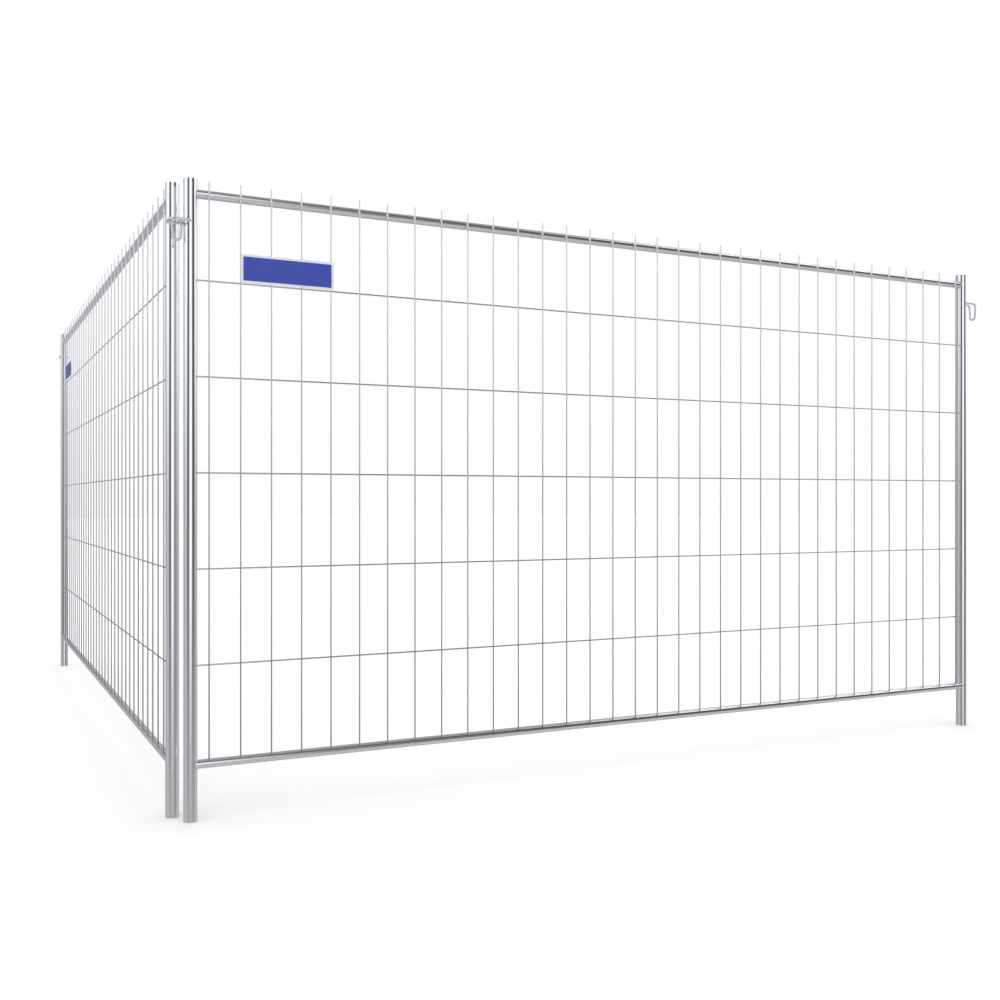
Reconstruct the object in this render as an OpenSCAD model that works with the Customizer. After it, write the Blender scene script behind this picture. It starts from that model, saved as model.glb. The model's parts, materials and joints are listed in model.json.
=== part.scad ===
// Two welded mesh fence panels, coupled at a corner by the hook of one in the eye of the other.
// Both panels are the same, but for the place of the sign. In a panel's own frame x runs from the
// left post's axis to the right post's axis, -y is the front and z is up from the ground.
// The front panel stands in the part's frame, and the side panel is turned back from its left post.

/* [Panel] */
// Distance between the axes of a panel's two posts
panel_w = 3410; // [1500:10:3500]
// Height of the posts
post_h = 2000; // [1200:10:2400]

/* [Posts] */
// Outside diameter of a post
post_d = 42.4; // [38:0.1:60]
// Wall of a post
post_wall = 2; // [1.5:0.1:4]

/* [Rails] */
// Outside diameter of a rail
rail_d = 28; // [20:0.5:36]
// Wall of a rail
rail_wall = 1.5; // [1:0.1:3]
// Height of the bottom rail's axis above the ground
bottom_rail_z = 176; // [100:1:400]
// Distance of the bottom rail's axis in front of the posts' axes
bottom_rail_fore = 4; // [0:0.5:8]
// Drop from the top of the posts to the top rail's axis
top_rail_drop = 44; // [30:1:100]

/* [Mesh] */
// Diameter of an upright wire
upright_d = 4.5; // [2.5:0.1:6]
// Pitch of the upright wires
upright_pitch = 100; // [50:1:200]
// Least room between a post and the axis of the upright wire beside it
upright_room = 12; // [6:1:40]
// Rise of the upright wires' tips above the top rail's crown
tip_rise = 25; // [0:1:30]
// Diameter of a cross wire
cross_d = 5; // [2.5:0.1:6]
// Rise from the bottom rail's axis to the lowest cross wire
first_cross_rise = 309; // [100:1:400]
// Drop from the top rail's axis to the highest cross wire
last_cross_drop = 271; // [150:1:400]

/* [Coupling] */
// Diameter of the round bar of the hook and the eye
bar_d = 8; // [6:0.5:12]
// Drop from the top of the posts to the eye's bar
eye_drop = 133; // [110:1:250]
// Distance by which the eye's legs end short of the post's axis
eye_short = 5; // [0:0.5:8]
// Distance from the right post's axis to the hook's lug
hook_reach = 72; // [60:1:120]
// Bend radius at the hook's shoulder, on the bar's axis
shoulder_r = 14; // [10:0.5:18]
// Distance of the hook's strands inside the flanks of the post
strand_inset = 1.2; // [1:0.1:4]
// Drop from the hook's strands to the bar at the lug's nose
lug_drop = 68; // [55:1:120]
// Bend radius of the lug's nose, on the bar's axis
nose_r = 12; // [8:0.5:14]
// Angle by which the corner closes before the hook meets the corner post
closing_angle = 6; // [0:1:30]
// Room left between the hook and the corner post there
closing_room = 0.65; // [0.3:0.05:3]
// Room between the hook's strands and the eye they rest on
rest_room = 0.3; // [0.2:0.05:1]

/* [Sign] */
// Width of the sign plate
sign_w = 308; // [160:1:400]
// Height of the sign plate
sign_h = 91; // [60:1:110]
// Thickness of the sign plate
sign_t = 2; // [1:0.1:4]
// White border round the sign's face
border = 7.5; // [3:0.5:20]
// Thickness of the sign's face
face_t = 0.3; // [0.1:0.1:1]
// Number of the upright wire beside the sign's left edge, counted from zero at the left post
sign_wire = 1; // [1:1:3]
// Distance from that wire's axis to the sign's left edge
sign_offset = 0; // [0:1:40]
// Distance by which the side panel's sign hangs further to the right than the front panel's
side_sign_shift = 140; // [0:1:200]
// Rise of the sign's lower edge above the highest cross wire
sign_rise = 0; // [0:1:30]
// Height of a saddle clip
clip_h = 20; // [10:1:30]
// Thickness of a saddle clip
clip_t = 1.2; // [0.8:0.1:2]
// Width of each flange of a saddle clip
clip_flange = 9; // [5:0.5:14]

/* [Hidden] */
PANELS = ["front", "side"];
// Number of cross wires in a panel, one node each
CROSS_WIRES = 5;
PIECES = concat(
    ["left_post", "right_post", "top_rail", "bottom_rail", "upright_wires"],
    [for (i = [1:CROSS_WIRES]) str("cross_wire_", i)],
    ["hook", "eye", "sign_plate", "sign_face", "sign_clips"]
);
$fn = 48;

ZINC = "silver";
WHITE = "white";
BLUE = "royalblue";

// Gap that a weld bridges, and gap between the sign's parts and the wires that they seat on
weld_gap = 0.1;
seat_gap = 0.1;
// Overrun of every cut
over = 1;

post_r = post_d / 2;
rail_r = rail_d / 2;
bar_r = bar_d / 2;

top_rail_z = post_h - top_rail_drop;

// Depths of the mesh: the uprights lie on the front of the top rail, with the cross wires behind
// them, and their lower ends stand on the shoulder of the bottom rail
rail_seat = rail_r + weld_gap;
upright_y = -(rail_seat + upright_d / 2);
cross_y = upright_y + upright_d / 2 + cross_d / 2 + weld_gap;
upright_bottom = bottom_rail_z + sqrt(pow(rail_seat, 2) - pow(rail_seat - bottom_rail_fore, 2));
upright_top = top_rail_z + rail_r + tip_rise;
upright_n = floor((panel_w - post_d - 2 * upright_room) / upright_pitch) + 1;
first_upright_x = (panel_w - (upright_n - 1) * upright_pitch) / 2;
function upright_x(i) = first_upright_x + i * upright_pitch;

first_cross_z = bottom_rail_z + first_cross_rise;
last_cross_z = top_rail_z - last_cross_drop;
cross_pitch = (last_cross_z - first_cross_z) / (CROSS_WIRES - 1);
function cross_z(i) = first_cross_z + (i - 1) * cross_pitch;

// The eye's legs end against both flanks of the post, and the hook's strands rest on its bow
eye_z = post_h - eye_drop;
eye_r = bar_r + sqrt(pow(post_r + weld_gap, 2) - pow(eye_short, 2));
hook_z = eye_z + bar_d + rest_room;
strand_y = post_r - bar_r - strand_inset;
eye_reach = (post_r + bar_r + strand_y + closing_room) / cos(closing_angle);

// The lug's legs lean inwards from the strands, so that they run tangent into the round nose
nose_drop = lug_drop - nose_r;
nose_far = norm([strand_y, nose_drop]);
lug_lean = acos(nose_r / nose_far) - atan2(nose_drop, strand_y);
leg_l = sqrt(pow(nose_far, 2) - pow(nose_r, 2)) - shoulder_r;

function sign_x(panel) =
    upright_x(sign_wire) + sign_offset + (panel == "side" ? side_sign_shift : 0);
sign_z = last_cross_z + cross_d / 2 + sign_rise;
sign_back_y = upright_y - upright_d / 2 - seat_gap;
sign_front_y = sign_back_y - sign_t;
clip_in_r = upright_d / 2 + seat_gap;
clip_out_r = clip_in_r + clip_t;
clip_half_w = clip_out_r + clip_flange;
// Wires with room for a whole clip behind the plate
function clip_xs(panel) = [
    for (i = [0:upright_n - 1])
        let (x = upright_x(i), start = sign_x(panel))
            if (x - clip_half_w > start && x + clip_half_w < start + sign_w)
                x
];

// Places one panel: the side panel's lug hangs in the middle of the front panel's eye
module place(panel) {
    if (panel == "front")
        children();
    else
        translate([-eye_reach, hook_reach + panel_w, 0])
            rotate(-90)
                children();
}

// Round tube, upright from z = 0
module tube(d, wall, h) {
    difference() {
        cylinder(d = d, h = h);
        translate([0, 0, -over])
            cylinder(d = d - 2 * wall, h = h + 2 * over);
    }
}

// Turns an upright solid to lie along x
module along_x() {
    rotate([0, 90, 0])
        children();
}

// Round bar bent through an angle, in the xy plane about the origin
module bend(r, angle) {
    rotate_extrude(angle = angle)
        translate([r, 0])
            circle(d = bar_d);
}

// Room of both posts, which the ends of rails, cross wires and hook are coped to
module post_room(xs = [0, panel_w]) {
    for (x = xs)
        translate([x, 0, -over])
            cylinder(r = post_r + weld_gap, h = post_h + 2 * over);
}

module left_post() {
    color(ZINC)
        tube(post_d, post_wall, post_h);
}

module right_post() {
    color(ZINC)
        translate([panel_w, 0, 0])
            tube(post_d, post_wall, post_h);
}

// Rail at a height, with its axis some way in front of the posts' axes
module rail(z, fore) {
    color(ZINC)
        difference() {
            translate([0, -fore, z])
                along_x()
                    tube(rail_d, rail_wall, panel_w);
            post_room();
        }
}

module top_rail() {
    rail(top_rail_z, 0);
}

module bottom_rail() {
    rail(bottom_rail_z, bottom_rail_fore);
}

module upright_wires() {
    color(ZINC)
        for (i = [0:upright_n - 1])
            translate([upright_x(i), upright_y, upright_bottom])
                cylinder(d = upright_d, h = upright_top - upright_bottom);
}

module cross_wire(i) {
    color(ZINC)
        difference() {
            translate([0, cross_y, cross_z(i)])
                along_x()
                    cylinder(d = cross_d, h = panel_w);
            post_room();
        }
}

// Bar of the hook's back half: strand, shoulder, leg and the whole nose, leaning about the strand
module hook_bar() {
    strand_l = hook_reach - shoulder_r;
    translate([strand_l, strand_y, 0])
        rotate([-lug_lean, 0, 0]) {
            translate([-strand_l, 0, 0])
                along_x()
                    cylinder(d = bar_d, h = strand_l);
            translate([0, 0, -shoulder_r]) {
                rotate([90, 0, 0])
                    bend(shoulder_r, 90);
                translate([shoulder_r, 0, -leg_l]) {
                    cylinder(d = bar_d, h = leg_l);
                    translate([0, -nose_r, 0])
                        rotate([90, 0, 90])
                            rotate(180)
                                bend(nose_r, 180);
                }
            }
        }
}

// Back half of the hook, cut off at its middle plane
module hook_half() {
    difference() {
        hook_bar();
        translate([0, -post_d, -lug_drop - bar_d])
            cube([hook_reach + bar_d, post_d, lug_drop + 2 * bar_d]);
    }
}

module hook() {
    color(ZINC)
        difference() {
            translate([panel_w, 0, hook_z]) {
                hook_half();
                mirror([0, 1, 0])
                    hook_half();
            }
            post_room([panel_w]);
        }
}

module eye() {
    color(ZINC)
        translate([-eye_reach, 0, eye_z]) {
            for (flank = [-1, 1])
                translate([0, flank * eye_r, 0])
                    along_x()
                        cylinder(d = bar_d, h = eye_reach - eye_short);
            rotate(90)
                bend(eye_r, 180);
        }
}

module sign_plate(panel) {
    color(WHITE)
        translate([sign_x(panel), sign_front_y, sign_z])
            cube([sign_w, sign_t, sign_h]);
}

module sign_face(panel) {
    color(BLUE)
        translate([sign_x(panel) + border, sign_front_y - face_t, sign_z + border])
            cube([sign_w - 2 * border, face_t, sign_h - 2 * border]);
}

// One saddle over a wire, with flanges flat on the plate's back
module saddle_clip() {
    seat = upright_d / 2 + seat_gap;
    difference() {
        union() {
            cylinder(r = clip_out_r, h = clip_h);
            translate([-clip_out_r, -seat, 0])
                cube([2 * clip_out_r, seat, clip_h]);
            translate([-clip_half_w, -seat, 0])
                cube([2 * clip_half_w, clip_t, clip_h]);
        }
        translate([0, 0, -over])
            cylinder(r = clip_in_r, h = clip_h + 2 * over);
        translate([-clip_in_r, -seat - clip_out_r, -over])
            cube([2 * clip_in_r, seat + clip_out_r, clip_h + 2 * over]);
        translate([-clip_out_r - over, -seat - clip_out_r, -over])
            cube([2 * (clip_out_r + over), clip_out_r, clip_h + 2 * over]);
    }
}

module sign_clips(panel) {
    color(ZINC)
        for (x = clip_xs(panel))
            translate([x, upright_y, sign_z + (sign_h - clip_h) / 2])
                saddle_clip();
}

for (panel = PANELS)
    place(panel) {
        left_post();
        right_post();
        top_rail();
        bottom_rail();
        upright_wires();
        for (i = [1:CROSS_WIRES])
            cross_wire(i);
        hook();
        eye();
        sign_plate(panel);
        sign_face(panel);
        sign_clips(panel);
    }
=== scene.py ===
import json
import math

import bmesh
import bpy
from mathutils import Matrix, Vector


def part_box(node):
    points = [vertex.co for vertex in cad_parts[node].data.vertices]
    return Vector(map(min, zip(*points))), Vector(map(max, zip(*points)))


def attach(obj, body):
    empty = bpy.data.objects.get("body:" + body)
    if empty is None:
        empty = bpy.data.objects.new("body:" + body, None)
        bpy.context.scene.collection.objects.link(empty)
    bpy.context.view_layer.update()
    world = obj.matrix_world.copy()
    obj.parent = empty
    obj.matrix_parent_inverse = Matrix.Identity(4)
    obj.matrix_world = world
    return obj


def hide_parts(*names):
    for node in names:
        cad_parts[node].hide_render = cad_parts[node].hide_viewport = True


# Looks of a pair of welded mesh fence panels that hang together at a corner.
# Both panels are alike. Every piece is built in a panel's own frame, which is the front panel's
# place in the CAD frame, and then set in its panel's place.

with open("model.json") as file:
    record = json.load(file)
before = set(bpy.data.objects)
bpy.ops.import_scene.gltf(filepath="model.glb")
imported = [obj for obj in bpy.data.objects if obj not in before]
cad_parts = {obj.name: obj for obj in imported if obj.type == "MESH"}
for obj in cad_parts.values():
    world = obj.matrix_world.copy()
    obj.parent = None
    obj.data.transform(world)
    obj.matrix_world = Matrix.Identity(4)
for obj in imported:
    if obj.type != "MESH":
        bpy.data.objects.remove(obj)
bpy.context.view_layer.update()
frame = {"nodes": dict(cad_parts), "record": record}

MM = 0.001
X = Vector((1, 0, 0))
Y = Vector((0, 1, 0))
Z = Vector((0, 0, 1))


def low(node):
    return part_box(node)[0]


def high(node):
    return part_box(node)[1]


def middle(node):
    return (low(node) + high(node)) / 2


def half(node):
    return (high(node) - low(node)) / 2


# Posts and rails
bores = {m["name"]: m["dims"]["r_mm"] * MM for m in frame["record"]["mounts"] if m["kind"] == "bore"}
post_r = half("front_left_post").x
post_h = high("front_left_post").z
bore_r = bores["front_left_tube"]
panel_w = middle("front_right_post").x
rail_r = half("front_top_rail").z
bottom_rail = middle("front_bottom_rail")
top_rail = middle("front_top_rail")
RAIL_WALL = 1.5 * MM
RIM = 0.5 * MM
# Short bands beside a post's rims, which keep the rims' rounding out of the long faces' shading
RIM_LAND = 2 * MM
# Spacing of the rings of a long tube
TUBE_STEP = 100 * MM

# Mesh wires
UPRIGHTS = 34
CROSS_WIRES = 5
wire_r = half("front_upright_wires").y
upright_y = middle("front_upright_wires").y
upright_foot = low("front_upright_wires").z
upright_tip = high("front_upright_wires").z
first_upright_x = low("front_upright_wires").x + wire_r
upright_pitch = (2 * half("front_upright_wires").x - 2 * wire_r) / (UPRIGHTS - 1)
upright_xs = [first_upright_x + i * upright_pitch for i in range(UPRIGHTS)]
cross_r = half("front_cross_wire_1").z
cross_y = middle("front_cross_wire_1").y
cross_zs = [middle(f"front_cross_wire_{i + 1}").z for i in range(CROSS_WIRES)]
# Rounding of a sheared wire end
WIRE_CUT = 0.6 * MM

# Hook and eye
BAR_R = 4 * MM
SHOULDER_R = 14 * MM
NOSE_R = 12 * MM
BAR_CUT = 0.8 * MM
strand_y = high("front_hook").y - BAR_R
strand_z = high("front_hook").z - BAR_R
lug_x = high("front_hook").x - BAR_R
nose_z = low("front_hook").z + BAR_R + NOSE_R
# The lug's legs lean inwards, so that they run tangent into its nose
nose_drop = strand_z - nose_z
lug_lean = math.acos(NOSE_R / math.hypot(strand_y, nose_drop)) - math.atan2(nose_drop, strand_y)
eye_r = high("front_eye").y - BAR_R
eye_z = middle("front_eye").z
bow_x = low("front_eye").x + BAR_R + eye_r
leg_end_x = high("front_eye").x

# Welds
RAIL_BEAD_R = 1.8 * MM
BAR_BEAD_R = 1.5 * MM
CROSS_BEAD_R = 1.0 * MM
RIPPLE_PITCH = 3.2 * MM
RIPPLE_SHARE = 0.14
CROSSING_NUGGET = Vector((2.6, 1.3, 2.8)) * MM
RAIL_NUGGET = Vector((2.5, 1.1, 4.5)) * MM
FOOT_NUGGET = Vector((2.6, 2.0, 1.2)) * MM
# Fillet at the end of an eye's leg: its run along the post and its height over the bar's axis
EYE_WELD_L = 8 * MM
EYE_WELD_H = 3.2 * MM

# Place of the crest along a bead's ripple, and tilt at which a nugget's poles are cut flat
RIPPLE_CREST = 0.35
NUGGET_TILT = 0.46 * math.pi
# Points of a fillet to a ripple, and taper of its ends
FILLET_RIPPLE = 3
FILLET_TAPER = 3

# Sides of round sections
POST_SIDES = 96
RAIL_SIDES = 72
WIRE_SIDES = 20
BAR_SIDES = 28
BEAD_SIDES = 10
FILLET_SIDES = 12
NUGGET_SIDES = 12

# Steps of bends, corners and seams
RIM_STEPS = 3
SHOULDER_STEPS = 10
NOSE_STEPS = 20
BOW_STEPS = 28
CORNER_STEPS = 6
NUGGET_STEPS = 6
FILLET_STEPS = 16
RAIL_SEAM_STEPS = 170
BAR_SEAM_STEPS = 60
CROSS_SEAM_STEPS = 24

# Sign
PLATE_CORNER_R = 3 * MM
PLATE_EDGE = 0.35 * MM
FILM_CORNER_R = 2 * MM
FILM_EDGE = 0.1 * MM

side_origin = Vector((middle("side_left_post").x, middle("side_left_post").y, 0))
PLACES = {
    "front": Matrix.Identity(4),
    "side": Matrix.Translation(side_origin) @ Matrix.Rotation(math.radians(-90), 4, "Z"),
}


# Shapes

def turn(steps, start=0.0, end=2 * math.pi, last=False):
    """Angles from start to end, with or without the last one."""
    count = steps + 1 if last else steps
    return [start + (end - start) * i / steps for i in range(count)]


def arc(centre, u, v, radius, start, end, steps):
    """Points of an arc in the plane of u and v, with angles in degrees."""
    angles = turn(steps, math.radians(start), math.radians(end), last=True)
    return [centre + radius * (math.cos(a) * u + math.sin(a) * v) for a in angles]


class Shape:
    """Vertices and faces of one piece."""

    def __init__(self):
        self.verts = []
        self.faces = []

    def loft(self, rings, closed=False):
        """Skins rings of equal length, joining the last to the first or capping both."""
        first = len(self.verts)
        sides = len(rings[0])
        for points in rings:
            self.verts.extend(points)
        for i in range(len(rings) if closed else len(rings) - 1):
            a = first + i * sides
            b = first + (i + 1) % len(rings) * sides
            for k in range(sides):
                n = (k + 1) % sides
                self.faces.append((a + k, a + n, b + n, b + k))
        if not closed:
            last = len(self.verts) - sides
            self.faces.append(tuple(range(first + sides - 1, first - 1, -1)))
            self.faces.append(tuple(range(last, last + sides)))

    def sweep(self, path, radii, sides, normals=None, closed=False):
        """Sweeps a circle along a path, its frame carried along or set by normals."""
        count = len(path)
        rings = []
        carried = None
        for i, point in enumerate(path):
            ahead = path[(i + 1) % count] if closed else path[min(i + 1, count - 1)]
            behind = path[i - 1] if closed else path[max(i - 1, 0)]
            tangent = (ahead - behind).normalized()
            if normals:
                carried = normals[i]
            elif carried is None:
                carried = tangent.orthogonal()
            u = (carried - carried.dot(tangent) * tangent).normalized()
            carried = u
            v = tangent.cross(u)
            ring = [point + radii[i] * (math.cos(a) * u + math.sin(a) * v) for a in turn(sides)]
            rings.append(ring)
        self.loft(rings, closed)

    def rod(self, path, radius, cut, sides):
        """Round bar along a path, with both ends rounded off by cut."""
        start = path[0] + cut * (path[1] - path[0]).normalized()
        end = path[-1] + cut * (path[-2] - path[-1]).normalized()
        points = [path[0], start, *path[1:-1], end, path[-1]]
        radii = [radius - cut, *[radius] * (len(points) - 2), radius - cut]
        self.sweep(points, radii, sides)

    def revolve(self, profile, axis_x, sides):
        """Turns a closed profile of (radius, z) about an upright axis at axis_x."""
        angles = turn(sides)
        self.loft(
            [[Vector((axis_x + r * math.cos(a), r * math.sin(a), z)) for a in angles] for r, z in profile],
            closed=True,
        )

    def bead(self, seam, normals, radius):
        """Rippled weld bead along a closed seam."""
        length = sum((seam[i] - seam[i - 1]).length for i in range(len(seam)))
        ripples = round(length / RIPPLE_PITCH)
        phases = [ripples * i / len(seam) % 1 for i in range(len(seam))]
        radii = [radius * (1 + RIPPLE_SHARE * (1 - 2 * abs(phase - RIPPLE_CREST))) for phase in phases]
        self.sweep(seam, radii, BEAD_SIDES, normals, closed=True)

    def nugget(self, centre, size):
        """Flattened weld nugget of the half sizes in size."""
        rings = []
        for tilt in turn(NUGGET_STEPS, -NUGGET_TILT, NUGGET_TILT, last=True):
            flat = math.cos(tilt)
            offsets = [
                Vector((flat * math.cos(a), flat * math.sin(a), math.sin(tilt)))
                for a in turn(NUGGET_SIDES)
            ]
            rings.append([centre + offset * size for offset in offsets])
        self.loft(rings)

    def sheet(self, lo, hi, corner_r, edge):
        """Flat plate between two corners, its outline rounded in x and z and its edges eased."""
        def outline(y, inset):
            r = corner_r - inset
            corners = (
                (hi.x - corner_r, hi.z - corner_r, 0),
                (lo.x + corner_r, hi.z - corner_r, 90),
                (lo.x + corner_r, lo.z + corner_r, 180),
                (hi.x - corner_r, lo.z + corner_r, 270),
            )
            points = []
            for x, z, start in corners:
                points.extend(arc(Vector((x, y, z)), X, Z, r, start, start + 90, CORNER_STEPS))
            return points
        self.loft([
            outline(hi.y, edge),
            outline(hi.y - edge, 0),
            outline(lo.y + edge, 0),
            outline(lo.y, edge),
        ])


# Materials

class Tree:
    """Short calls for building one node tree."""

    def __init__(self, tree):
        self.tree = tree
        tree.nodes.clear()

    def add(self, kind, inputs=None, **settings):
        node = self.tree.nodes.new(kind)
        for name, value in settings.items():
            setattr(node, name, value)
        for key, value in (inputs or {}).items():
            self.feed(node.inputs[key], value)
        return node

    def feed(self, socket, value):
        if isinstance(value, bpy.types.NodeSocket):
            self.tree.links.new(value, socket)
        else:
            socket.default_value = value

    def math(self, operation, *values):
        node = self.add("ShaderNodeMath", dict(enumerate(values)), operation=operation)
        return node.outputs[0]

    def step(self, value, start, end):
        """Goes smoothly from 0 to 1 as value goes from start to end."""
        node = self.add("ShaderNodeMapRange", {0: value, 1: start, 2: end}, interpolation_type="SMOOTHSTEP")
        return node.outputs[0]

    def band(self, value, start, end, soft):
        """Is 1 between start and end, with soft edges."""
        rise = self.step(value, start - soft, start + soft)
        fall = self.step(value, end + soft, end - soft)
        return self.math("MULTIPLY", rise, fall)

    def scale(self, value, low_end, high_end):
        """Maps 0 to 1 onto low_end to high_end."""
        node = self.add("ShaderNodeMapRange", {0: value, 3: low_end, 4: high_end})
        return node.outputs[0]

    def mix(self, factor, a, b):
        node = self.add("ShaderNodeMix", {0: factor, 6: a, 7: b}, data_type="RGBA")
        return node.outputs[2]

    def noise(self, coords, scale, detail=2.0, roughness=0.5):
        inputs = {"Vector": coords, "Scale": scale, "Detail": detail, "Roughness": roughness}
        return self.add("ShaderNodeTexNoise", inputs).outputs[0]

    def stretched(self, coords, scales):
        return self.add("ShaderNodeMapping", {"Vector": coords, "Scale": scales}).outputs[0]

    def bump(self, height, strength, depth):
        inputs = {"Height": height, "Strength": strength, "Distance": depth}
        return self.add("ShaderNodeBump", inputs).outputs[0]


def grey(value, tint=(1, 1, 1)):
    return (value * tint[0], value * tint[1], value * tint[2], 1)


def new_material(name):
    material = bpy.data.materials.new(name)
    material.use_nodes = True
    tree = Tree(material.node_tree)
    out = tree.add("ShaderNodeOutputMaterial")
    shader = tree.add("ShaderNodeBsdfPrincipled")
    tree.tree.links.new(shader.outputs[0], out.inputs["Surface"])
    coords = tree.add("ShaderNodeTexCoord").outputs["Object"]
    return material, tree, shader, coords


# Scales are in features to the metre. Tones and roughnesses are a low and a high end.
ZINC_TINT = (0.985, 1.0, 1.03)
ZINC_TONES = (0.75, 0.82)
ZINC_ROUGHNESS = (0.05, 0.12)
ZINC_PATCH_SCALE = 6.0
STREAK_ACROSS = 220.0
STREAK_ALONG = 1.5
STREAK_SHARE = 0.6
SPANGLE_SCALE = 95.0
SPANGLE_SHARE = 0.4

WIRE_TONES = (0.97, 1.03)
WIRE_ROUGHNESS = (0.08, 0.14)
WIRE_PATCH_SCALE = 14.0
# Painted shade: the uprights' zinc is painted darker towards the ground
UPRIGHT_FOOT_SHADE_TINT = (0.39, 0.39, 0.43)
UPRIGHT_TIP_TINT = (0.83, 0.83, 0.86)
CROSS_TINT = (0.65, 0.65, 0.635)

WELD_TONES = (0.66, 0.76)
WELD_ROUGHNESS = (0.2, 0.34)
WELD_GRAIN_SCALE = 420.0
WELD_GRAIN_STRENGTH = 0.2
WELD_GRAIN_DEPTH = 0.4 * MM

SATIN_SPECULAR = 0.25
PEEL_DEPTH = 0.2 * MM


def zinc(name, along):
    """Bright hot-dip galvanised steel, faintly spangled, with drawing streaks along one axis."""
    material, tree, shader, coords = new_material(name)
    streak_scales = [STREAK_ACROSS] * 3
    streak_scales[along] = STREAK_ALONG
    streak = tree.noise(tree.stretched(coords, streak_scales), 1.0)
    spangle_node = tree.add("ShaderNodeTexVoronoi", {"Vector": coords, "Scale": SPANGLE_SCALE})
    spangle = tree.add("ShaderNodeSeparateColor", {0: spangle_node.outputs["Color"]}).outputs[0]
    patch = tree.noise(coords, ZINC_PATCH_SCALE)
    streaked = tree.math("MULTIPLY", streak, STREAK_SHARE)
    tone = tree.math("ADD", streaked, tree.math("MULTIPLY", spangle, SPANGLE_SHARE))
    dull, bright = (grey(end, ZINC_TINT) for end in ZINC_TONES)
    tree.feed(shader.inputs["Base Color"], tree.mix(tone, dull, bright))
    tree.feed(shader.inputs["Roughness"], tree.scale(patch, *ZINC_ROUGHNESS))
    shader.inputs["Metallic"].default_value = 1.0
    return material


def wire_zinc(name, foot_tint, tip_tint):
    """Zinc on drawn wire: smooth, with no spangle, from one tint at the ground to another at the top; a
    darker tint at the ground is painted shade.
    """
    material, tree, shader, coords = new_material(name)
    patch = tree.noise(coords, WIRE_PATCH_SCALE)
    height = tree.add("ShaderNodeSeparateXYZ", {0: coords}).outputs[2]
    rise = tree.add("ShaderNodeMapRange", {0: height, 1: upright_foot, 2: upright_tip}).outputs[0]
    foot, tip = (
        tree.mix(patch, *(grey(end, tint) for end in WIRE_TONES))
        for tint in (foot_tint, tip_tint)
    )
    tree.feed(shader.inputs["Base Color"], tree.mix(rise, foot, tip))
    tree.feed(shader.inputs["Roughness"], tree.scale(patch, *WIRE_ROUGHNESS))
    shader.inputs["Metallic"].default_value = 1.0
    return material


def weld_zinc():
    """Zinc over weld metal: duller and grainier than on the drawn tube."""
    material, tree, shader, coords = new_material("weld_zinc")
    grain = tree.noise(coords, WELD_GRAIN_SCALE, detail=4.0, roughness=0.6)
    dull, bright = (grey(end, ZINC_TINT) for end in WELD_TONES)
    tree.feed(shader.inputs["Base Color"], tree.mix(grain, dull, bright))
    tree.feed(shader.inputs["Roughness"], tree.scale(grain, *WELD_ROUGHNESS))
    shader.inputs["Metallic"].default_value = 1.0
    tree.feed(shader.inputs["Normal"], tree.bump(grain, WELD_GRAIN_STRENGTH, WELD_GRAIN_DEPTH))
    return material


def satin(name, deep, pale, cloud_scale, roughness, peel_scale, peel_strength):
    """Satin enamel or film, faintly mottled, with a fine peel."""
    material, tree, shader, coords = new_material(name)
    cloud = tree.noise(coords, cloud_scale, detail=3.0)
    peel = tree.noise(coords, peel_scale)
    tree.feed(shader.inputs["Base Color"], tree.mix(cloud, deep, pale))
    tree.feed(shader.inputs["Roughness"], tree.scale(cloud, *roughness))
    shader.inputs["Specular IOR Level"].default_value = SATIN_SPECULAR
    tree.feed(shader.inputs["Normal"], tree.bump(peel, peel_strength, PEEL_DEPTH))
    return material


ZINC_ALONG = [zinc(f"zinc_along_{axis}", i) for i, axis in enumerate("xyz")]
# The uprights' zinc carries painted shade, darker towards the ground
UPRIGHT_WIRE_SHADED = wire_zinc("upright_wire_zinc_shaded", UPRIGHT_FOOT_SHADE_TINT, UPRIGHT_TIP_TINT)
CROSS_WIRE = wire_zinc("cross_wire_zinc", CROSS_TINT, CROSS_TINT)
WELD = weld_zinc()
WHITE = satin(
    "sign_white", deep=(0.62, 0.62, 0.67, 1), pale=(0.66, 0.66, 0.705, 1),
    cloud_scale=30.0, roughness=(0.36, 0.46), peel_scale=600.0, peel_strength=0.06,
)
BLUE = satin(
    "sign_blue", deep=(0.035, 0.06, 0.325, 1), pale=(0.041, 0.069, 0.368, 1),
    cloud_scale=24.0, roughness=(0.36, 0.44), peel_scale=450.0, peel_strength=0.05,
)

# Axis that a panel's level pieces run along
LEVEL = {"front": 0, "side": 1}
UPRIGHT = 2
SHARP_ANGLE = math.radians(40)


# Pieces

def add_piece(panel, name, shape, material, nodes=()):
    """Makes an object of a shape, in its panel's place and on its panel's body."""
    mesh = bpy.data.meshes.new(f"{panel}_{name}")
    mesh.from_pydata(shape.verts, [], shape.faces)
    solid = bmesh.new()
    solid.from_mesh(mesh)
    bmesh.ops.recalc_face_normals(solid, faces=solid.faces)
    solid.to_mesh(mesh)
    solid.free()
    mesh.transform(PLACES[panel])
    mesh.polygons.foreach_set("use_smooth", [True] * len(mesh.polygons))
    mesh.set_sharp_from_angle(angle=SHARP_ANGLE)
    mesh.materials.append(material)
    piece = bpy.data.objects.new(mesh.name, mesh)
    bpy.context.scene.collection.objects.link(piece)
    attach(piece, f"{panel}_panel")
    if nodes:
        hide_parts(*[f"{panel}_{node}" for node in nodes])


def add_steel(panel, name, shape, axis, nodes):
    add_piece(panel, name, shape, ZINC_ALONG[axis], nodes)


def add_wire(panel, name, shape, material, node):
    add_piece(panel, name, shape, material, [node])


def add_welds(panel, name, shape):
    add_piece(panel, name, shape, WELD)


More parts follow.
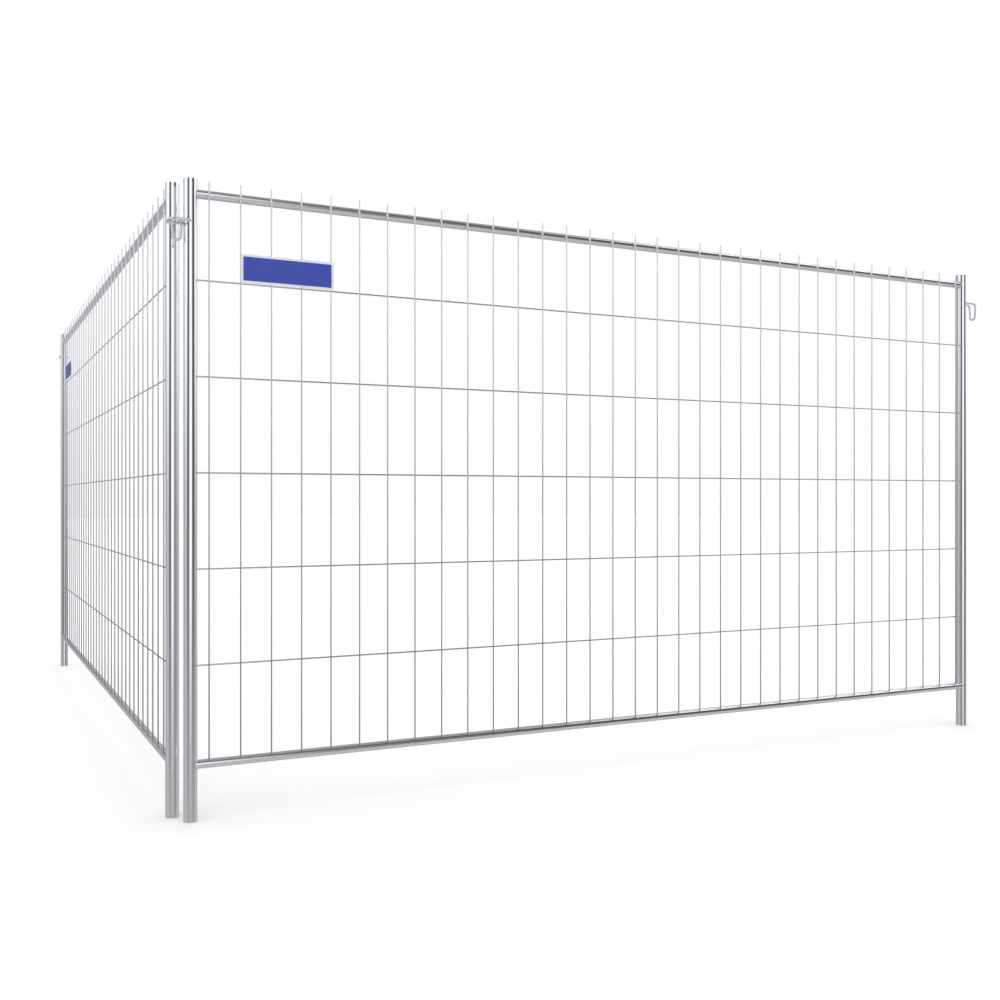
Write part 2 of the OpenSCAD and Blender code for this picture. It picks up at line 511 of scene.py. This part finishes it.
def post_tube(axis_x):
    """Open tube with both rims rounded on the outside and the inside."""
    def rim(r, z, start):
        points = arc(Vector((r, 0, z)), X, Z, RIM, start, start + 90, RIM_STEPS)
        return [(point.x, point.z) for point in points]
    foot, crown = RIM + RIM_LAND, post_h - RIM - RIM_LAND
    profile = [
        *rim(post_r - RIM, post_h - RIM, 0),
        *rim(bore_r + RIM, post_h - RIM, 90),
        (bore_r, crown),
        (bore_r, foot),
        *rim(bore_r + RIM, RIM, 180),
        *rim(post_r - RIM, RIM, 270),
        (post_r, foot),
        (post_r, crown),
    ]
    shape = Shape()
    shape.revolve(profile, axis_x, POST_SIDES)
    return shape


def post_skin_x(y):
    """Distance from a post's axis to its skin, along x, at depth y."""
    return math.sqrt(post_r ** 2 - y ** 2)


def rail_tube(axis):
    """Tube along a level axis, its ends coped to both posts."""
    steps = round(panel_w / TUBE_STEP)

    def ring(r, share):
        points = []
        for a in turn(RAIL_SIDES):
            y = axis.y + r * math.cos(a)
            start = post_skin_x(y)
            points.append(Vector((start + share * (panel_w - 2 * start), y, axis.z + r * math.sin(a))))
        return points
    outer = [ring(rail_r, i / steps) for i in range(steps + 1)]
    inner = [ring(rail_r - RAIL_WALL, i / steps) for i in range(steps, -1, -1)]
    shape = Shape()
    shape.loft(outer + inner, closed=True)
    return shape


def upright_wires():
    shape = Shape()
    for x in upright_xs:
        foot = Vector((x, upright_y, upright_foot))
        tip = Vector((x, upright_y, upright_tip))
        shape.rod([foot, tip], wire_r, WIRE_CUT, WIRE_SIDES)
    return shape


def cross_wire(z):
    start_x = post_skin_x(cross_y)
    start = Vector((start_x, cross_y, z))
    end = Vector((panel_w - start_x, cross_y, z))
    shape = Shape()
    shape.rod([start, end], cross_r, WIRE_CUT, WIRE_SIDES)
    return shape


def hook_bar():
    """One bar: out along the near strand, down round the lug's nose and back along the far strand."""
    root_x = panel_w + post_skin_x(strand_y)
    lean = math.degrees(lug_lean)

    def shoulder(flank, start, end):
        upwards = Vector((0, flank * math.sin(lug_lean), math.cos(lug_lean)))
        centre = Vector((lug_x - SHOULDER_R, flank * strand_y, strand_z)) - SHOULDER_R * upwards
        return arc(centre, X, upwards, SHOULDER_R, start, end, SHOULDER_STEPS)
    path = [
        Vector((root_x, -strand_y, strand_z)),
        *shoulder(-1, 90, 0),
        *arc(Vector((lug_x, 0, nose_z)), Y, Z, NOSE_R, 180 + lean, 360 - lean, NOSE_STEPS),
        *shoulder(1, 0, 90),
        Vector((root_x, strand_y, strand_z)),
    ]
    shape = Shape()
    shape.rod(path, BAR_R, BAR_CUT, BAR_SIDES)
    return shape


def eye_bar():
    """One bar bent into a flat U, open towards the post."""
    bow = Vector((bow_x, 0, eye_z))
    path = [
        Vector((leg_end_x, -eye_r, eye_z)),
        *arc(bow, -X, Y, eye_r, -90, 90, BOW_STEPS),
        Vector((leg_end_x, eye_r, eye_z)),
    ]
    shape = Shape()
    shape.rod(path, BAR_R, BAR_CUT, BAR_SIDES)
    return shape


def seam_round(shape, axis_x, towards, bar_r, bar_y, bar_z, bead_r, steps):
    """Bead where a level bar meets the post at axis_x, on its right (1) or left (-1) flank."""
    seam, normals = [], []
    for a in turn(steps):
        y = bar_y + bar_r * math.cos(a)
        seam.append(Vector((axis_x + towards * post_skin_x(y), y, bar_z + bar_r * math.sin(a))))
        normals.append(Vector((0, math.cos(a), math.sin(a))))
    shape.bead(seam, normals, bead_r)


def frame_welds():
    """Beads round both ends of the rails and the cross wires."""
    shape = Shape()
    for axis_x, towards in ((0, 1), (panel_w, -1)):
        for rail in (bottom_rail, top_rail):
            seam_round(shape, axis_x, towards, rail_r, rail.y, rail.z, RAIL_BEAD_R, RAIL_SEAM_STEPS)
        for z in cross_zs:
            seam_round(shape, axis_x, towards, cross_r, cross_y, z, CROSS_BEAD_R, CROSS_SEAM_STEPS)
    return shape


def coupling_welds():
    """Beads round the hook's strands, and fillets round the ends of the eye's legs."""
    shape = Shape()
    start_x = leg_end_x - EYE_WELD_L
    outline = [Vector((start_x, 0, eye_z + EYE_WELD_H))]
    outline += arc(Vector((leg_end_x, 0, eye_z)), X, Z, EYE_WELD_H, 90, -90, FILLET_STEPS)
    outline += [Vector((start_x, 0, eye_z - EYE_WELD_H))]
    for flank in (-1, 1):
        seam_round(shape, panel_w, 1, BAR_R, flank * strand_y, strand_z, BAR_BEAD_R, BAR_SEAM_STEPS)
        fillet = [point + flank * post_skin_x(point.x) * Y for point in outline]
        radii = [BAR_BEAD_R * (1 + RIPPLE_SHARE * (i % FILLET_RIPPLE - 1)) for i in range(len(fillet))]
        radii[0] = radii[-1] = BAR_BEAD_R / FILLET_TAPER
        shape.sweep(fillet, radii, FILLET_SIDES)
    return shape


def mesh_welds():
    """Nuggets where wires cross each other, lie on the top rail and stand on the bottom rail."""
    shape = Shape()
    seat_y = upright_y + wire_r
    for x in upright_xs:
        for z in cross_zs:
            shape.nugget(Vector((x, seat_y, z)), CROSSING_NUGGET)
        shape.nugget(Vector((x, seat_y, top_rail.z)), RAIL_NUGGET)
        shape.nugget(Vector((x, seat_y, upright_foot)), FOOT_NUGGET)
    return shape


def sign_sheet(panel, piece, corner_r, edge):
    """Plate or film of a panel's sign, between the CAD node's corners in the panel's own frame."""
    home = PLACES[panel].inverted()
    a, b = (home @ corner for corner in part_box(f"{panel}_{piece}"))
    shape = Shape()
    shape.sheet(Vector(map(min, a, b)), Vector(map(max, a, b)), corner_r, edge)
    return shape


for panel in PLACES:
    level = LEVEL[panel]
    add_steel(panel, "left_post_tube", post_tube(0), UPRIGHT, ["left_post"])
    add_steel(panel, "right_post_tube", post_tube(panel_w), UPRIGHT, ["right_post"])
    add_steel(panel, "bottom_rail_tube", rail_tube(bottom_rail), level, ["bottom_rail"])
    add_steel(panel, "top_rail_tube", rail_tube(top_rail), level, ["top_rail"])
    add_wire(panel, "upright_rods", upright_wires(), UPRIGHT_WIRE_SHADED, "upright_wires")
    for number, wire_z in enumerate(cross_zs, 1):
        add_wire(panel, f"cross_rod_{number}", cross_wire(wire_z), CROSS_WIRE, f"cross_wire_{number}")
    add_steel(panel, "hook_bar", hook_bar(), level, ["hook"])
    add_steel(panel, "eye_bar", eye_bar(), level, ["eye"])
    plate = sign_sheet(panel, "sign_plate", PLATE_CORNER_R, PLATE_EDGE)
    film = sign_sheet(panel, "sign_face", FILM_CORNER_R, FILM_EDGE)
    add_piece(panel, "sign_sheet", plate, WHITE, ["sign_plate"])
    add_piece(panel, "sign_film", film, BLUE, ["sign_face"])
    add_welds(panel, "frame_welds", frame_welds())
    add_welds(panel, "coupling_welds", coupling_welds())
    # The weld nuggets take the uprights' zinc, with its painted shade towards the ground
    add_piece(panel, "mesh_welds", mesh_welds(), UPRIGHT_WIRE_SHADED)
    frame["nodes"][f"{panel}_sign_clips"].material_slots[0].material = ZINC_ALONG[UPRIGHT]


# Stage and light

FLOOR_R = 60.0
FLOOR_SIDES = 96
FLOOR_TONES = (0.92, 0.95)
FLOOR_ROUGHNESS = 0.9
FLOOR_CLOUD_SCALE = 0.8


def add_floor():
    """Plain pale floor. What the metal mirrors below the horizon is the studio's own."""
    mesh = bpy.data.meshes.new("floor")
    disc = bmesh.new()
    bmesh.ops.create_circle(disc, cap_ends=True, segments=FLOOR_SIDES, radius=FLOOR_R)
    disc.to_mesh(mesh)
    disc.free()
    material, tree, shader, coords = new_material("floor_pale")
    cloud = tree.noise(coords, FLOOR_CLOUD_SCALE)
    tree.feed(shader.inputs["Base Color"], tree.mix(cloud, *(grey(end) for end in FLOOR_TONES)))
    shader.inputs["Roughness"].default_value = FLOOR_ROUGHNESS
    shader.inputs["Specular IOR Level"].default_value = 0.0
    mesh.materials.append(material)
    floor = bpy.data.objects.new("floor", mesh)
    bpy.context.scene.collection.objects.link(floor)
    floor.visible_glossy = False


# What the metal mirrors: a dark wall in front with a lit window in its middle, white screens on
# both sides, a grey ceiling and a grey ground that mirrors wall and window ever more faintly. The
# wall narrows upwards, and the window's foot rises towards its sides. The wall glows faintly to
# the right of the window. Behind the panels it is dim, but for a lit gap straight behind.
# Bearings are in degrees from straight in front of the front panel, to its right; rises are in
# degrees above the horizon.
SCREEN = grey(1.25, (0.98, 1.0, 1.04))
CEILING = grey(0.38)
BACK = grey(0.43)
BACK_GAP = grey(0.72)
WALL_LEFT = grey(0.155, (1.0, 1.0, 1.06))
WALL_RIGHT = grey(0.1, (1.0, 1.0, 1.06))
GLOW = grey(0.3)
GROUND = grey(0.6)
BACK_GROUND = grey(0.45)
BACKDROP = grey(1.0)
SOFT_LIGHT = grey(1.065)
WALL_BEARINGS = (-66, 63)
WALL_TAPER = 0.006
WINDOW_BEARINGS = (-27, 15)
WINDOW_MIDDLE = sum(WINDOW_BEARINGS) / 2
BACK_BEARING = 122
GAP_BEARINGS = (174, 179)
SCREEN_FOOT = (-3, 13)
SCREEN_TOP = (48, 60)
WALL_FOOT = (-27, 4)
WALL_TOP = (52, 64)
WINDOW_FOOT = (-22, -4)
WINDOW_TOP = (34, 41)
WINDOW_SILL_SLOPE = 0.3
EDGE_SOFTNESS = 5
GLOW_BEARINGS = (-17, 26)
GLOW_SOFTNESS = 10


def add_studio():
    """Studio round the object. The camera sees its white backdrop, and soft light fills the rest."""
    world = bpy.data.worlds.new("studio")
    bpy.context.scene.world = world
    world.use_nodes = True
    tree = Tree(world.node_tree)
    way = tree.add("ShaderNodeSeparateXYZ", {0: tree.add("ShaderNodeTexCoord").outputs["Generated"]})
    ahead = tree.math("MULTIPLY", way.outputs[1], -1.0)
    bearing = tree.math("DEGREES", tree.math("ARCTAN2", way.outputs[0], ahead))
    rise = tree.math("DEGREES", tree.math("ARCSINE", way.outputs[2]))

    upper = tree.mix(tree.step(rise, *SCREEN_TOP), SCREEN, CEILING)
    aside = tree.math("ABSOLUTE", bearing)
    behind = tree.step(aside, BACK_BEARING - EDGE_SOFTNESS, BACK_BEARING + EDGE_SOFTNESS)
    back = tree.mix(tree.step(aside, *GAP_BEARINGS), BACK, BACK_GAP)
    upper = tree.mix(behind, upper, back)
    ground = tree.mix(behind, GROUND, BACK_GROUND)
    light = tree.mix(tree.step(rise, *SCREEN_FOOT), ground, upper)
    wall = tree.mix(tree.step(bearing, *WINDOW_BEARINGS), WALL_LEFT, WALL_RIGHT)
    narrowed = tree.math("MULTIPLY", bearing, tree.math("MULTIPLY_ADD", rise, WALL_TAPER, 1.0))
    off_middle = tree.math("ABSOLUTE", tree.math("SUBTRACT", bearing, WINDOW_MIDDLE))
    over_sill = tree.math("MULTIPLY_ADD", off_middle, -WINDOW_SILL_SLOPE, rise)
    for colour, across, sides, softness, over_foot, foot, top in (
        (wall, narrowed, WALL_BEARINGS, EDGE_SOFTNESS, rise, WALL_FOOT, WALL_TOP),
        (GLOW, bearing, GLOW_BEARINGS, GLOW_SOFTNESS, over_sill, WINDOW_FOOT, WINDOW_TOP),
        (SCREEN, bearing, WINDOW_BEARINGS, EDGE_SOFTNESS, over_sill, WINDOW_FOOT, WINDOW_TOP),
    ):
        tall = tree.math("MULTIPLY", tree.step(over_foot, *foot), tree.step(rise, top[1], top[0]))
        share = tree.math("MULTIPLY", tree.band(across, *sides, softness), tall)
        light = tree.mix(share, light, colour)

    path = tree.add("ShaderNodeLightPath").outputs
    light = tree.mix(path["Is Diffuse Ray"], light, SOFT_LIGHT)
    light = tree.mix(path["Is Camera Ray"], light, BACKDROP)
    shader = tree.add("ShaderNodeBackground", {"Color": light})
    out = tree.add("ShaderNodeOutputWorld")
    tree.tree.links.new(shader.outputs[0], out.inputs["Surface"])


KEY_ENERGY = 0.31
# Spread of the key light, its tilt from overhead and its turn, in degrees
KEY_SPREAD = 70
KEY_TILT = 38
KEY_TURN = -20


def add_key():
    """Wide soft key light from the front left, for the floor and the sign."""
    light = bpy.data.lights.new("key", "SUN")
    light.energy = KEY_ENERGY
    light.angle = math.radians(KEY_SPREAD)
    key = bpy.data.objects.new("key", light)
    key.rotation_euler = (math.radians(KEY_TILT), 0, math.radians(KEY_TURN))
    key.visible_glossy = False
    bpy.context.scene.collection.objects.link(key)


# Camera, from the photograph's 1000 by 1000 frame. It stands level, turned right by degrees.
FRAME_PX = 1000
FOCAL_PX = 1072.2
AXIS_X_PX = 443.1
SENSOR_MM = 36
CAMERA_PLACE = (-0.6899, -3.3615, 1.0005)
CAMERA_TURN = 24.864


def add_camera():
    lens = bpy.data.cameras.new("camera")
    lens.sensor_width = SENSOR_MM
    lens.lens = FOCAL_PX / FRAME_PX * SENSOR_MM
    lens.shift_x = (FRAME_PX / 2 - AXIS_X_PX) / FRAME_PX
    camera = bpy.data.objects.new("camera", lens)
    camera.location = CAMERA_PLACE
    camera.rotation_euler = (math.radians(90), 0, math.radians(-CAMERA_TURN))
    bpy.context.scene.collection.objects.link(camera)
    bpy.context.scene.camera = camera
    bpy.context.scene.view_settings.view_transform = "Standard"


add_floor()
add_studio()
add_key()
add_camera()
